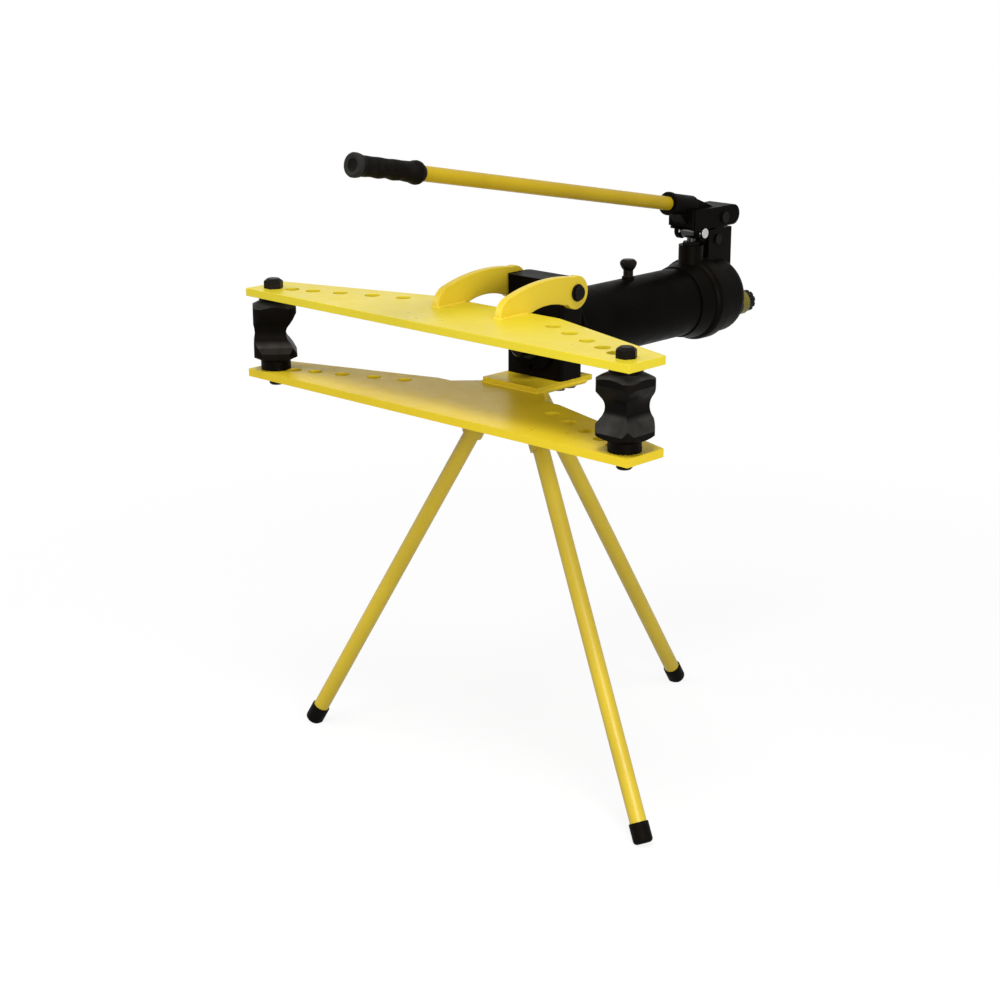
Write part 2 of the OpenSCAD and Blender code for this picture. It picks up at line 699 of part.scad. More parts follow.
// An upturned channel over the post, drawn out in front into a tilted socket for the handle
module pump_lever() color(paint_black) from_front_edge() {
    lever_top = fulcrum_z + web_under + web_t;
    lever_front = plunger_y - 23;
    tail_r = (lever_low + web_under + web_t) / 2;
    tail_y = fulcrum_y + lever_tail - tail_r;
    socket_end_y = mouth_y + (handle_in + socket_floor) * cos(handle_tilt);
    socket_end_z = mouth_z - (handle_in + socket_floor) * sin(handle_tilt);
    neck_x = socket_d / 2 - 4;
    difference() {
        union() {
            for (x = [-lever_x, cheek_x]) side_view(x, x + cheek_t) {
                translate([lever_front, fulcrum_z - lever_low])
                    square([tail_y - lever_front, lever_low + web_under + web_t]);
                translate([tail_y, lever_top - tail_r]) circle(tail_r);
                translate([plunger_y, plunger_z]) circle(lug_r);
            }
            side_view(-lever_x + over, lever_x - over) {
                translate([lever_front, lever_top - web_t]) square([tail_y - lever_front, web_t]);
                intersection() {
                    difference() {
                        translate([tail_y, lever_top - tail_r]) circle(tail_r);
                        translate([tail_y, lever_top - tail_r]) circle(tail_r - web_t);
                    }
                    translate([tail_y - over, lever_top - tail_r]) square(2 * tail_r);
                }
                translate([lever_front - 6, fulcrum_z - lever_low + 6]) square([7, lever_top - fulcrum_z + lever_low - 6]);
            }
            side_view(-neck_x, neck_x) {
                polygon([[socket_end_y - 8, lever_top - web_t + 1], [fulcrum_y - 14, lever_top - web_t + 1],
                         [fulcrum_y - 14, lever_top - 1], [socket_end_y - 2, socket_end_z + socket_d / 2 - 3]]);
                polygon([[lever_front - 24, lever_top - 4], [lever_front - 4, fulcrum_z - lever_low + 8],
                         [lever_front - 4, lever_top - 4]]);
            }
            translate([0, mouth_y, mouth_z]) rotate([90 - handle_tilt, 0, 0])
                translate([0, 0, -handle_in - socket_floor]) cylinder(d = socket_d, h = handle_in + socket_floor - 4);
            translate([0, mouth_y, mouth_z]) rotate([90 - handle_tilt, 0, 0])
                translate([0, 0, -5]) cylinder(d = socket_d + 3, h = 5);
        }
        translate([0, mouth_y, mouth_z]) rotate([90 - handle_tilt, 0, 0])
            translate([0, 0, -handle_in]) cylinder(d = handle_d + 2 * seat_clear, h = handle_in + over);
        across_x(fulcrum_y, fulcrum_z, fulcrum_pin_d + 2 * seat_clear, 3 * lever_x);
        side_view(-2 * lever_x, 2 * lever_x) translate([plunger_y, plunger_z]) rotate(slot_angle) {
            for (x = [-slot_reach, slot_reach]) translate([x, 0]) circle(plunger_pin_d / 2 + slot_clear);
            square([2 * slot_reach, plunger_pin_d + 2 * slot_clear], center = true);
        }
    }
}

// Places a piece on the handle's axis: z = 0 at the socket's mouth, +Z towards the grip
module on_handle() from_front_edge() translate([0, mouth_y, mouth_z]) rotate([90 - handle_tilt, 0, 0]) children();

module handle_tube() color(paint_yellow) on_handle() translate([0, 0, -handle_in]) difference() {
    cylinder(d = handle_d, h = handle_total - 6);
    translate([0, 0, -over]) cylinder(d = handle_d - 2 * handle_wall, h = handle_total + over);
}

// Rubber sleeve with a flange at each end and two soft waists between them
module handle_grip() color(rubber_black) on_handle() translate([0, 0, handle_len - grip_len]) {
    flange_t = 9;
    edge = 3;
    steps = 36;
    wave = 1.1;
    r = grip_flange_d / 2;
    body = [for (i = [0:steps]) let (t = i / steps)
        [grip_d / 2 + wave * cos(720 * t), flange_t + (grip_len - 2 * flange_t) * t]];
    difference() {
        rotate_extrude() polygon(concat(
            [[0, 0], [r - edge, 0], [r, edge], [r, flange_t - edge]], body,
            [[r, grip_len - flange_t + edge], [r, grip_len - edge], [r - edge, grip_len], [0, grip_len]]));
        translate([0, 0, -over]) cylinder(d = handle_d + 2 * seat_clear, h = grip_len - 6 + over);
    }
}

module release_collar() color(paint_yellow) from_front_edge() difference() {
    along_y(casting_rear, valve_z, valve_collar_d, valve_collar_len, valve_x);
    along_y(casting_rear - over, valve_z, spindle_d + 2 * free_clear, valve_collar_len + 2 * over, valve_x);
}

// Fluted knob on a spindle that closes the release valve
module release_knob() color(paint_black) from_front_edge() {
    flutes = 10;
    difference() {
        along_y(casting_rear + valve_collar_len + free_clear, valve_z, knob_d, knob_len - free_clear, valve_x);
        for (i = [0:flutes - 1]) translate([valve_x, 0, valve_z]) rotate([0, 360 * i / flutes, 0])
            along_y(casting_rear + valve_collar_len - over, 0, 5, knob_len + 2 * over, knob_d / 2 + 1);
    }
    along_y(casting_rear - valve_depth + ball_d + 2, valve_z, spindle_d, valve_depth + valve_collar_len - ball_d - 1,
            valve_x);
}

module valve_ball() color(bare_steel) from_front_edge()
    translate([valve_x, casting_rear - valve_depth + ball_d / 2, valve_z - (spindle_d + 2 * free_clear - ball_d) / 2])
        sphere(d = ball_d);

module filler_boss() color(paint_black) from_front_edge() difference() {
    translate([0, filler_y, tank_z]) cylinder(d = boss_d, h = boss_top - tank_z);
    along_y(filler_y - boss_d, tank_z, tank_d, 2 * boss_d);
    translate([0, filler_y, tank_z]) cylinder(d = filler_bore, h = tank_d);
}

// Waisted cap with a vent knob, on a spigot that turns in the boss
module filler_cap() color(paint_black) from_front_edge() translate([0, filler_y, boss_top + free_clear]) {
    r = filler_d / 2;
    waist = r * 0.62;
    rotate_extrude() polygon([[0, 0], [waist + 1, 0], [waist, 1.5], [waist, filler_h - 17], [r - 1, filler_h - 12],
        [r, filler_h - 9], [r, filler_h - 3], [r - 2.5, filler_h - 0.5], [r - 4, filler_h], [0, filler_h]]);
    translate([0, 0, -12]) cylinder(d = filler_bore - 2 * free_clear, h = 12 + over);
}

// Section of a roller's groove: a round bottom, and flanks that run from it out to the mouth. Each flank starts
// a little inside the round, so that the two cross instead of only touching
flank_bite = 0.97;

module groove_section(i) {
    r = groove_r[i];
    half = groove_mouth[i] / 2;
    out = r - groove_depth[i];
    reach = norm([out, half]);
    touch = atan2(half, out) - acos(r / reach);
    root = [out - flank_bite * r * cos(touch), flank_bite * r * sin(touch)];
    translate([out, 0]) circle(r);
    polygon([[0, -half], [root.x, -root.y], root, [0, half], [over, half], [over, -half]]);
}

// A square roller with a pipe groove of another size in each side
module roller() {
    roller_h = wing_gap - 2 * roller_play;
    body_h = roller_h - roller_low_collar - roller_top_collar;
    groove_z = wing_gap / 2 + pipe_line_up - roller_play;
    collar_r = roller_collar_d / 2;
    difference() {
        union() {
            cylinder(r = collar_r, h = roller_h);
            translate([0, 0, roller_low_collar]) intersection() {
                translate([-roller_side / 2, -roller_side / 2, 0]) cube([roller_side, roller_side, body_h]);
                rotate_extrude() polygon([[0, 0], [collar_r, 0], [roller_corner_r, roller_bevel],
                    [roller_corner_r, body_h - roller_bevel], [collar_r, body_h], [0, body_h]]);
            }
        }
        for (i = [0:len(groove_r) - 1]) rotate([0, 0, 90 * i]) translate([roller_side / 2, roller_side, groove_z])
            rotate([90, 0, 0]) linear_extrude(2 * roller_side) groove_section(i);
        translate([0, 0, -over]) cylinder(r = pin_d / 2 + pin_clear, h = roller_h + 2 * over);
    }
}

module at_roller(side, z) from_front_edge() translate([side * outer_hole_x, outer_hole_y, z]) children();

module roller_left() color(paint_black) at_roller(-1, low_top + roller_play) rotate(left_roller_turn) roller();
module roller_right() color(paint_black) at_roller(1, low_top + roller_play) roller();

// A pin with a hexagon head, dropped through both wings and the roller
module roller_pin() {
    shank = 2 * plate_t + wing_gap + pin_tip;
    bevel = 2;
    head_cone = 5;
    translate([0, 0, -shank + bevel]) cylinder(d = pin_d, h = shank);
    translate([0, 0, -shank]) cylinder(d1 = pin_d - 2 * bevel, d2 = pin_d, h = bevel);
    intersection() {
        cylinder(d = pin_head_d, h = pin_head_h, $fn = 6);
        rotate_extrude() polygon([[0, 0], [pin_head_d / 2 + over, 0], [pin_head_d / 2 + over, pin_head_h - head_cone],
                                  [pin_head_d * 0.3, pin_head_h], [0, pin_head_h]]);
    }
}

module roller_pin_left() color(paint_black) at_roller(-1, up_top) roller_pin();
module roller_pin_right() color(paint_black) at_roller(1, up_top) roller_pin();

// Each leg runs along a straight line from its foot on the floor to its top under the lower wing
leg_lines = [
    [[left_foot[0], left_foot[1], 0], [-leg_top_x, leg_top_y, stand_h]],
    [[right_foot[0], right_foot[1], 0], [leg_top_x, leg_top_y, stand_h]],
    [[rear_foot[0], rear_foot[1], 0], [0, rear_top_y, stand_h]]];

function leg_reach(i) = norm(leg_lines[i][1] - leg_lines[i][0]);
function leg_lean(i) = acos(stand_h / leg_reach(i));

// Distance up a leg at which its square top end stops, just under the head plate
function leg_stop(i) = leg_reach(i) - (head_t + leg_d / 2 * sin(leg_lean(i))) / cos(leg_lean(i)) - over;

// Places a piece on a leg's line: z = 0 at the floor, +Z up the leg, +Y towards the other legs
module on_leg(i) {
    run = leg_lines[i][1] - leg_lines[i][0];
    from_front_edge() translate(leg_lines[i][0])
        rotate([0, leg_lean(i), atan2(run[1], run[0])]) rotate([0, 0, -90]) children();
}

// Everything above a height
module above(z) translate([-wing_len, -wing_len, z]) cube([2 * wing_len, 2 * wing_len, wing_len]);

// A welded plate with three slanting sockets
module leg_head() color(paint_yellow) {
    head_z = stand_h - head_t;
    rim = 22;
    front = leg_top_y - rim;
    half = leg_top_x + rim;
    rear_half = tail_w / 2;
    rear = rear_top_y + rim / 2;
    difference() {
        union() {
            from_front_edge() translate([0, 0, head_z]) linear_extrude(head_t)
                polygon([[-half, front], [half, front], [half, leg_top_y + rim / 2], [rear_half, rear],
                         [-rear_half, rear], [-half, leg_top_y + rim / 2]]);
            for (i = [0:2]) difference() {
                on_leg(i) translate([0, 0, leg_stop(i) - socket_len])
                    cylinder(d = leg_d + 2 * socket_wall, h = 2 * socket_len);
                above(head_z + head_t / 2);
            }
        }
        for (i = [0:2]) on_leg(i) translate([0, 0, leg_stop(i) - socket_len - over])
            cylinder(d = leg_d + 2 * seat_clear, h = socket_len + over);
    }
}

module leg(i) color(paint_yellow) {
    start = foot_end(i) + foot_sole;
    on_leg(i) translate([0, 0, start]) difference() {
        cylinder(d = leg_d, h = leg_stop(i) - start);
        translate([0, 0, -over]) cylinder(d = leg_d - 2 * leg_wall, h = leg_reach(i));
    }
}

// Height along the leg at which the foot's square end stands, so that the floor cuts foot_flat off its rim
foot_r = leg_d / 2 + foot_wall;
function foot_end(i) = (foot_r * sin(leg_lean(i)) - foot_flat) / cos(leg_lean(i));

module foot(i) color(rubber_black) intersection() {
    on_leg(i) translate([0, 0, foot_end(i)]) difference() {
        rotate_extrude() {
            polygon([[0, 0], [foot_r - foot_toe, 0], [foot_r, foot_toe], [foot_r, foot_len - 1],
                     [foot_r - 1, foot_len], [0, foot_len]]);
            translate([foot_r - foot_toe, foot_toe]) circle(foot_toe);
        }
        translate([0, 0, foot_sole]) cylinder(d = leg_d + 2 * seat_clear, h = foot_len);
    }
    above(0);
}

module leg_left() leg(0);
module leg_right() leg(1);
module leg_rear() leg(2);
module foot_left() foot(0);
module foot_right() foot(1);
module foot_rear() foot(2);

lower_wing_plate();
upper_wing_plate();
saddle_plate();
hinge_arm_left();
hinge_arm_right();
hinge_pin();
hinge_pin_clips();
cylinder_block();
block_bolts();
gland_nut();
rod_wiper();
tank_tube();
pressure_cylinder();
ram();
piston();
piston_seal();
return_spring();
spring_anchor();
pump_casting();
plunger_gland();
pump_plunger();
plunger_pin();
fulcrum_pin();
post_pin();
pump_lever();
handle_tube();
handle_grip();
release_collar();
release_knob();
valve_ball();
filler_boss();
filler_cap();
roller_left();
roller_right();
roller_pin_left();
roller_pin_right();
leg_head();
leg_left();
leg_right();
leg_rear();
foot_left();
foot_right();
foot_rear();
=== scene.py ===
import json
import math

import bmesh
import bpy
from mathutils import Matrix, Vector, noise

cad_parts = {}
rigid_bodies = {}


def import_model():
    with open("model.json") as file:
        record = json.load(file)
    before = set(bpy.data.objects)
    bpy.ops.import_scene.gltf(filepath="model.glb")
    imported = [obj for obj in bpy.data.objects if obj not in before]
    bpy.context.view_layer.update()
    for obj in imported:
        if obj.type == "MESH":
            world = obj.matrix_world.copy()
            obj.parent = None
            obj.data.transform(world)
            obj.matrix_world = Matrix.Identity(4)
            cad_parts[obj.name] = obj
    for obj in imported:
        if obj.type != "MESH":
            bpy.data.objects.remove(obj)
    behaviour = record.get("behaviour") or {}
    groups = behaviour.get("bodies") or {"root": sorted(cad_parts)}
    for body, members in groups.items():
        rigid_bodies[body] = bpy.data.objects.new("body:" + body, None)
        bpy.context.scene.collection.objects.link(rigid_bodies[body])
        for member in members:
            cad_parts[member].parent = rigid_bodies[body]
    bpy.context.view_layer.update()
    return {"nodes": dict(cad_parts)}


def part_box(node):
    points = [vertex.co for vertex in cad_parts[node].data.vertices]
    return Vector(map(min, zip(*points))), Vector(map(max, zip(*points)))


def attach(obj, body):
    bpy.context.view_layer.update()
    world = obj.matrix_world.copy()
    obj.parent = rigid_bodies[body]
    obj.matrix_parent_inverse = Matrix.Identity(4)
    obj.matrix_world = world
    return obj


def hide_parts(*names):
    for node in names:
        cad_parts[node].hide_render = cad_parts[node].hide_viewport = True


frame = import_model()

# The camera stands at the front right, a little above the wings, where the photograph was taken.
# It has a long lens, about 72 mm on a full frame, and is held level.
eye = Vector((1.976, -2.246426, 1.3029))
turn, rise = math.radians(43.138), math.radians(16.917)
towards_eye = Vector((math.sin(turn) * math.cos(rise), -math.cos(turn) * math.cos(rise), math.sin(rise)))
camera = bpy.data.objects.new("camera", bpy.data.cameras.new("camera"))
camera.location = eye
camera.rotation_mode = "QUATERNION"
camera.rotation_quaternion = towards_eye.to_track_quat("Z", "Y")
camera.data.sensor_width = 36.0
camera.data.lens = 72.26
camera.data.clip_end = 100.0
bpy.context.scene.collection.objects.link(camera)
bpy.context.scene.camera = camera


# The three legs are drawn steel tubes, sprayed with yellow enamel and pushed into the sockets of a welded
# head plate under the lower wing. The enamel is glossy, a little uneven, and chipped in places on its edges.
def eased(node, radius, sharp=28):
    """A node's shape with edges of more than so many degrees eased to a radius, and marked "edge" there."""
    same_point = 1e-5
    flat_turn = math.radians(0.4)
    work = bmesh.new()
    work.from_mesh(frame["nodes"][node].data)
    bmesh.ops.remove_doubles(work, verts=work.verts, dist=same_point)
    bmesh.ops.dissolve_limit(work, angle_limit=flat_turn, verts=work.verts, edges=work.edges)
    mark = work.loops.layers.float.new("edge")
    corners = [e for e in work.edges if e.is_manifold and e.calc_face_angle(0.0) > math.radians(sharp)]
    made = bmesh.ops.bevel(work, geom=corners, offset=radius, offset_type="OFFSET", segments=3, profile=0.5,
                           affect="EDGES", clamp_overlap=True, loop_slide=True)
    for face in made["faces"]:
        for loop in face.loops:
            loop[mark] = 1.0
    return placed(work, node + "_skin", body_of(node), [node])


def body_of(node):
    """The name of the body that a node rides on."""
    return frame["nodes"][node].parent.name.split(":")[1]


def placed(work, name, body, stands_for=()):
    """Makes a piece of a worked mesh, on a body, in place of the nodes it stands for."""
    for face in work.faces:
        face.smooth = True
    mesh = bpy.data.meshes.new(name)
    work.to_mesh(mesh)
    work.free()
    piece = bpy.data.objects.new(name, mesh)
    bpy.context.scene.collection.objects.link(piece)
    level = piece.modifiers.new("level_faces", "WEIGHTED_NORMAL")
    level.keep_sharp = True
    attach(piece, body)
    if stands_for:
        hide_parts(*stands_for)
    return piece


def coat(piece, finish):
    """Gives a piece its finish."""
    piece.data.materials.clear()
    piece.data.materials.append(finish)


class Recipe:
    """A finish under way: one surface shader, and the nodes that drive its colour, gloss and relief."""

    def __init__(self, name):
        self.material = bpy.data.materials.new(name)
        self.material.use_nodes = True
        self.tree = self.material.node_tree
        self.surface = self.tree.nodes["Principled BSDF"]
        self.place = self.tree.nodes.new("ShaderNodeTexCoord").outputs["Object"]

    def node(self, kind, **sockets):
        """Adds a node, with its sockets linked or set."""
        made = self.tree.nodes.new(kind)
        for key, value in sockets.items():
            self.plug(made.inputs[key.replace("_", " ")], value)
        return made

    def plug(self, socket, value):
        """Links a socket to another one, or sets its value."""
        if isinstance(value, bpy.types.NodeSocket):
            self.tree.links.new(value, socket)
        else:
            socket.default_value = value

    def blotches(self, scale, detail=3.0, rough=0.55, stretch=None):
        """Cloudy grey noise, so many patches to the metre."""
        where = self.place
        if stretch:
            where = self.node("ShaderNodeMapping", Vector=where, Scale=stretch).outputs["Vector"]
        return self.node("ShaderNodeTexNoise", Vector=where, Scale=scale, Detail=detail,
                         Roughness=rough).outputs["Fac"]

    def ramp(self, value, *stops):
        """Turns a grey value into greys or colours at the given stops."""
        made = self.node("ShaderNodeValToRGB", Fac=value)
        bar = made.color_ramp.elements
        while len(bar) < len(stops):
            bar.new(0.5)
        for element, (where, colour) in zip(bar, stops):
            element.position = where
            element.color = (*colour, 1.0) if isinstance(colour, tuple) else (colour, colour, colour, 1.0)
        return made.outputs["Color"]

    def mix(self, share, first, second):
        """Blends two colours by a share of the second."""
        made = self.tree.nodes.new("ShaderNodeMix")
        made.data_type = "RGBA"
        for socket, value in ((made.inputs[0], share), (made.inputs[6], first), (made.inputs[7], second)):
            self.plug(socket, (*value, 1.0) if isinstance(value, tuple) else value)
        return made.outputs[2]

    def times(self, first, second):
        """Multiplies two grey values."""
        made = self.tree.nodes.new("ShaderNodeMath")
        made.operation = "MULTIPLY"
        for socket, value in zip(made.inputs, (first, second)):
            self.plug(socket, value)
        return made.outputs["Value"]

    def edge(self):
        """1 along eased edges, 0 elsewhere."""
        made = self.tree.nodes.new("ShaderNodeAttribute")
        made.attribute_name = "edge"
        return made.outputs["Fac"]

    def relief(self, *layers):
        """Stacks bump layers, each a height, a depth in metres and a strength."""
        normal = None
        for height, depth, strength in layers:
            bump = self.node("ShaderNodeBump", Height=height, Distance=depth, Strength=strength)
            if normal:
                self.tree.links.new(normal, bump.inputs["Normal"])
            normal = bump.outputs["Normal"]
        self.tree.links.new(normal, self.surface.inputs["Normal"])

    def set(self, **sockets):
        """Links or sets the surface shader's sockets, and hands over the material."""
        for key, value in sockets.items():
            self.plug(self.surface.inputs[key.replace("_", " ")], value)
        return self.material


def yellow_enamel(name, fair, deep, shine=0.2, dull=0.34):
    """Sprayed yellow enamel: two close tones, an orange-peel skin, primer where the edges are chipped."""
    r = Recipe(name)
    tone = r.ramp(r.blotches(7.0), (0.32, deep), (0.68, fair))
    chip = r.times(r.edge(), r.ramp(r.blotches(210.0, 4.0, 0.7), (0.69, 0.0), (0.72, 1.0)))
    r.relief((r.blotches(14.0, 2.0), 0.002, 0.05), (r.blotches(620.0, 2.0), 0.0004, 0.05))
    return r.set(Base_Color=r.mix(chip, tone, (0.16, 0.12, 0.06)),
                 Roughness=r.ramp(r.blotches(45.0, 5.0), (0.3, dull - 0.07), (0.75, dull + 0.08)),
                 Specular_IOR_Level=shine)


# The legs' copy of the yellow is deeper than the upper wing's: painted shade.
leg_yellow = yellow_enamel("leg_yellow", (0.58, 0.42, 0.014), (0.52, 0.37, 0.012), 0.5, 0.4)
for node in ("leg_head", "leg_left", "leg_right", "leg_rear"):
    coat(eased(node, 0.0008), leg_yellow)


# The feet are moulded rubber caps, pushed over the tube ends and worn flat where they stand.
# The rubber is a dull black with a fine grain, scuffed grey in places.
warm_shine = (1.0, 0.86, 0.72, 1.0)


def black_rubber(name, grain, wear_and_highlight_colour):
    """Dull rubber of a fine grain, with a paler colour where the edge mark is set."""
    r = Recipe(name)
    black, scuffed = (0.002, 0.0016, 0.0012), (0.008, 0.007, 0.006)
    tone = r.ramp(r.blotches(60.0, 6.0, 0.7), (0.5, black), (0.8, scuffed))
    r.relief((r.blotches(grain, 3.0), 0.0006, 0.25))
    return r.set(Base_Color=r.mix(r.edge(), tone, wear_and_highlight_colour),
                 Roughness=r.ramp(r.blotches(90.0), (0.3, 0.5), (0.7, 0.7)),
                 Specular_IOR_Level=0.05, Specular_Tint=warm_shine)


foot_rubber = black_rubber("foot_rubber", 500.0, (0.006, 0.0054, 0.005))
for node in ("foot_left", "foot_right", "foot_rear"):
    coat(eased(node, 0.0015), foot_rubber)


# The wings are cut from 12 mm steel plate, drilled for the roller pins and enamelled yellow. The saddle
# plate is welded to the lower one and the two curved hinge arms to the upper one, with beads run by hand.
def weld_bead(name, corners, thick, across, body):
    """A bead along straight runs between corners, rippled where the weld pool froze, thin at its ends."""
    ripple, points_per_ripple = 0.0044, 6
    sides, smoothings = 10, 8
    step = ripple / points_per_ripple
    line = []
    for start, end in zip(corners, corners[1:]):
        count = math.ceil((end - start).length / step)
        line += [start.lerp(end, i / count) for i in range(count)]
    line.append(corners[-1])
    for _ in range(smoothings):
        line[1:-1] = [(a + b + c) / 3 for a, b, c in zip(line, line[1:-1], line[2:])]
    whole = step * (len(line) - 1)
    closed = (corners[0] - corners[-1]).length < step
    angles = [math.tau * k / sides for k in range(sides)]
    work = bmesh.new()
    rings = []
    for i, point in enumerate(line):
        run = step * i
        along = (line[min(i + 1, len(line) - 1)] - line[max(i - 1, 0)]).normalized()
        out = along.cross(across).normalized()
        up = out.cross(along)
        near_end = 1.0 if closed else min(1.0, min(run, whole - run) / (2 * thick) + 0.05)
        r = thick * math.sqrt(near_end) * (0.86 + 0.14 * abs(math.sin(math.pi * run / ripple)))
        r *= 1.0 + 0.1 * noise.noise(point * 90.0)
        centre = point + out * 0.12 * thick * noise.noise(point * 55.0 + Vector((7.0, 3.0, 1.0)))
        rings.append([work.verts.new(centre + r * (math.cos(a) * out + math.sin(a) * up)) for a in angles])
    for ring, next_ring in zip(rings, rings[1:]):
        for k in range(sides):
            work.faces.new((ring[k - 1], ring[k], next_ring[k], next_ring[k - 1]))
    if not closed:
        work.faces.new(rings[0])
        work.faces.new(rings[-1][::-1])
    bmesh.ops.recalc_face_normals(work, faces=work.faces)
    return placed(work, name, body)


# Copies of one yellow: the upper wing's paler, more lemon copy is painted light, and the lower wing's and the
# arms' more orange copies are painted shade.
upper_yellow = yellow_enamel("upper_yellow", (0.70, 0.57, 0.026), (0.65, 0.52, 0.022))
lower_yellow = yellow_enamel("lower_yellow", (0.71, 0.53, 0.022), (0.66, 0.48, 0.018), 0.12)
arm_yellow = yellow_enamel("arm_yellow", (0.66, 0.49, 0.028), (0.6, 0.44, 0.023))
for node, radius, finish in (("lower_wing_plate", 0.0012, lower_yellow),
                             ("upper_wing_plate", 0.0012, upper_yellow),
                             ("saddle_plate", 0.001, lower_yellow),
                             ("hinge_arm_left", 0.0018, arm_yellow),
                             ("hinge_arm_right", 0.0018, arm_yellow)):
    coat(eased(node, radius), finish)


def three_sides(low, high, rear, height):
    """Corners of a weld that runs round a piece's left, front and right sides and stops at a rear end."""
    ends = ((low.x, rear), (low.x, low.y), (high.x, low.y), (high.x, rear))
    return [Vector((x, y, height)) for x, y in ends]


upright = Vector((0.0, 0.0, 1.0))
arm_bead, arm_stop = 0.0038, 0.005
wing_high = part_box("upper_wing_plate")[1]
for node in ("hinge_arm_left", "hinge_arm_right"):
    low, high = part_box(node)
    runs = three_sides(low, high, wing_high.y - arm_stop, wing_high.z)
    coat(weld_bead(node + "_weld", runs, arm_bead, upright, "frame"), arm_yellow)
saddle_bead, saddle_stop = 0.0034, 0.012
low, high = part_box("saddle_plate")
runs = three_sides(low, high, high.y - saddle_stop, low.z)
coat(weld_bead("saddle_weld", runs, saddle_bead, upright, "frame"), lower_yellow)


# The block, the pump casting and the pump lever are iron castings, and the tank tube, the gland nut and
# the filler boss are turned steel, all under black enamel. The tank tube is welded to the block all round.
def black_enamel(name, sand, gloss, dull, wear_and_highlight_colour=None):
    """Black enamel over iron: faint warm tone, sand-cast relief, worn edges, a painted highlight on upward
    slopes.
    """
    r = Recipe(name)
    tone = r.ramp(r.blotches(16.0), (0.35, (0.0014, 0.0011, 0.0008)), (0.7, (0.0028, 0.0022, 0.0017)))
    worn = r.times(r.edge(), r.ramp(r.blotches(150.0, 4.0, 0.7), (0.52, 0.0), (0.66, 0.7)))
    r.relief((r.blotches(230.0, 4.0, 0.6), 0.0007, sand), (r.blotches(700.0, 2.0), 0.0003, 0.03))
    colour = r.mix(worn, tone, (0.009, 0.0075, 0.006))
    # A painted highlight: upward-facing slopes get a paler colour in patches.
    if wear_and_highlight_colour:
        faces = r.node("ShaderNodeNewGeometry").outputs["True Normal"]
        slope = r.ramp(r.node("ShaderNodeSeparateXYZ", Vector=faces).outputs["Z"], (0.3, 0.0), (0.55, 1.0))
        patches = r.ramp(r.blotches(30.0, 4.0), (0.35, 0.4), (0.65, 1.0))
        colour = r.mix(r.times(slope, patches), colour, wear_and_highlight_colour)
    return r.set(Base_Color=colour,
                 Roughness=r.ramp(r.blotches(50.0, 5.0), (0.3, dull - 0.08), (0.75, dull + 0.08)),
                 Specular_IOR_Level=gloss, Specular_Tint=warm_shine)


cast_black = black_enamel("cast_black", 0.07, 0.03, 0.46)
tube_black = black_enamel("tube_black", 0.015, 0.015, 0.42)
for node, radius, finish in (("cylinder_block", 0.0022, cast_black), ("gland_nut", 0.001, tube_black),
                             ("tank_tube", 0.0006, tube_black), ("pump_casting", 0.0016, cast_black),
                             ("filler_boss", 0.0004, tube_black)):
    coat(eased(node, radius), finish)
coat(eased("pump_lever", 0.0008, 35), black_enamel("lever_black", 0.07, 0.02, 0.46))

low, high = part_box("tank_tube")
tank_r = (high.z - low.z) / 2
tank_middle = Vector((0.0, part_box("cylinder_block")[1].y, low.z + tank_r))
tank_bead, bead_points = 0.0036, 72
angles = [math.tau * i / bead_points for i in range(bead_points + 1)]
ring = [tank_middle + tank_r * Vector((math.cos(a), 0.0, math.sin(a))) for a in angles]
backward = Vector((0.0, 1.0, 0.0))
coat(weld_bead("tank_weld", ring, tank_bead, backward, "frame"), cast_black)


# Bolts, pins, the pump's gland, the filler cap and the release knob are turned steel, blackened in hot oil.
# Their edges show a little bare metal.
def oiled_black(name):
    """Steel blackened in oil: close dark tones, and bare metal in patches along the edges."""
    r = Recipe(name)
    tone = r.ramp(r.blotches(40.0, 5.0), (0.35, (0.0024, 0.0021, 0.0018)), (0.7, (0.005, 0.0044, 0.004)))
    bare = r.times(r.edge(), r.ramp(r.blotches(120.0, 4.0, 0.7), (0.5, 0.0), (0.66, 0.6)))
    r.relief((r.blotches(420.0, 3.0), 0.0003, 0.12))
    return r.set(Base_Color=r.mix(bare, tone, (0.06, 0.06, 0.062)), Metallic=0.2,
                 Roughness=r.ramp(r.blotches(70.0, 5.0), (0.3, 0.36), (0.75, 0.52)),
                 Specular_IOR_Level=0.07, Specular_Tint=warm_shine)


pin_black = oiled_black("pin_black")
for node in ("hinge_pin", "hinge_pin_clips", "fulcrum_pin", "post_pin", "plunger_gland", "block_bolts",
             "filler_cap", "release_knob", "roller_pin_left", "roller_pin_right"):
    coat(eased(node, 0.0006), pin_black)


# The filler cap is screwed into its boss by hand, so its rim is knurled for the fingers.
# The ridges are rolled into the steel before it is blackened.
def knurled_band(name, middle, radius, tall, count, proud, body):
    """An upright band of rounded ridges round a piece, closed inwards at its top and bottom."""
    per_ridge = 6
    around = count * per_ridge
    work = bmesh.new()
    levels = ((0.0, -1.0), (0.0, 0.1), (0.12, 1.0), (0.88, 1.0), (1.0, 0.1), (1.0, -1.0))
    rings = []
    for share, full in levels:
        ring = []
        for i in range(around):
            ridge = 0.5 + 0.5 * math.cos(math.tau * i / per_ridge)
            r = radius + proud * (full if full < 0 else full * ridge)
            angle = math.tau * i / around
            place = Vector((r * math.cos(angle), r * math.sin(angle), share * tall))
            ring.append(work.verts.new(middle + place))
        rings.append(ring)
    for ring, next_ring in zip(rings, rings[1:] + rings[:1]):
        for i in range(around):
            work.faces.new((ring[i - 1], ring[i], next_ring[i], next_ring[i - 1]))
    bmesh.ops.recalc_face_normals(work, faces=work.faces)
    return placed(work, name, body)


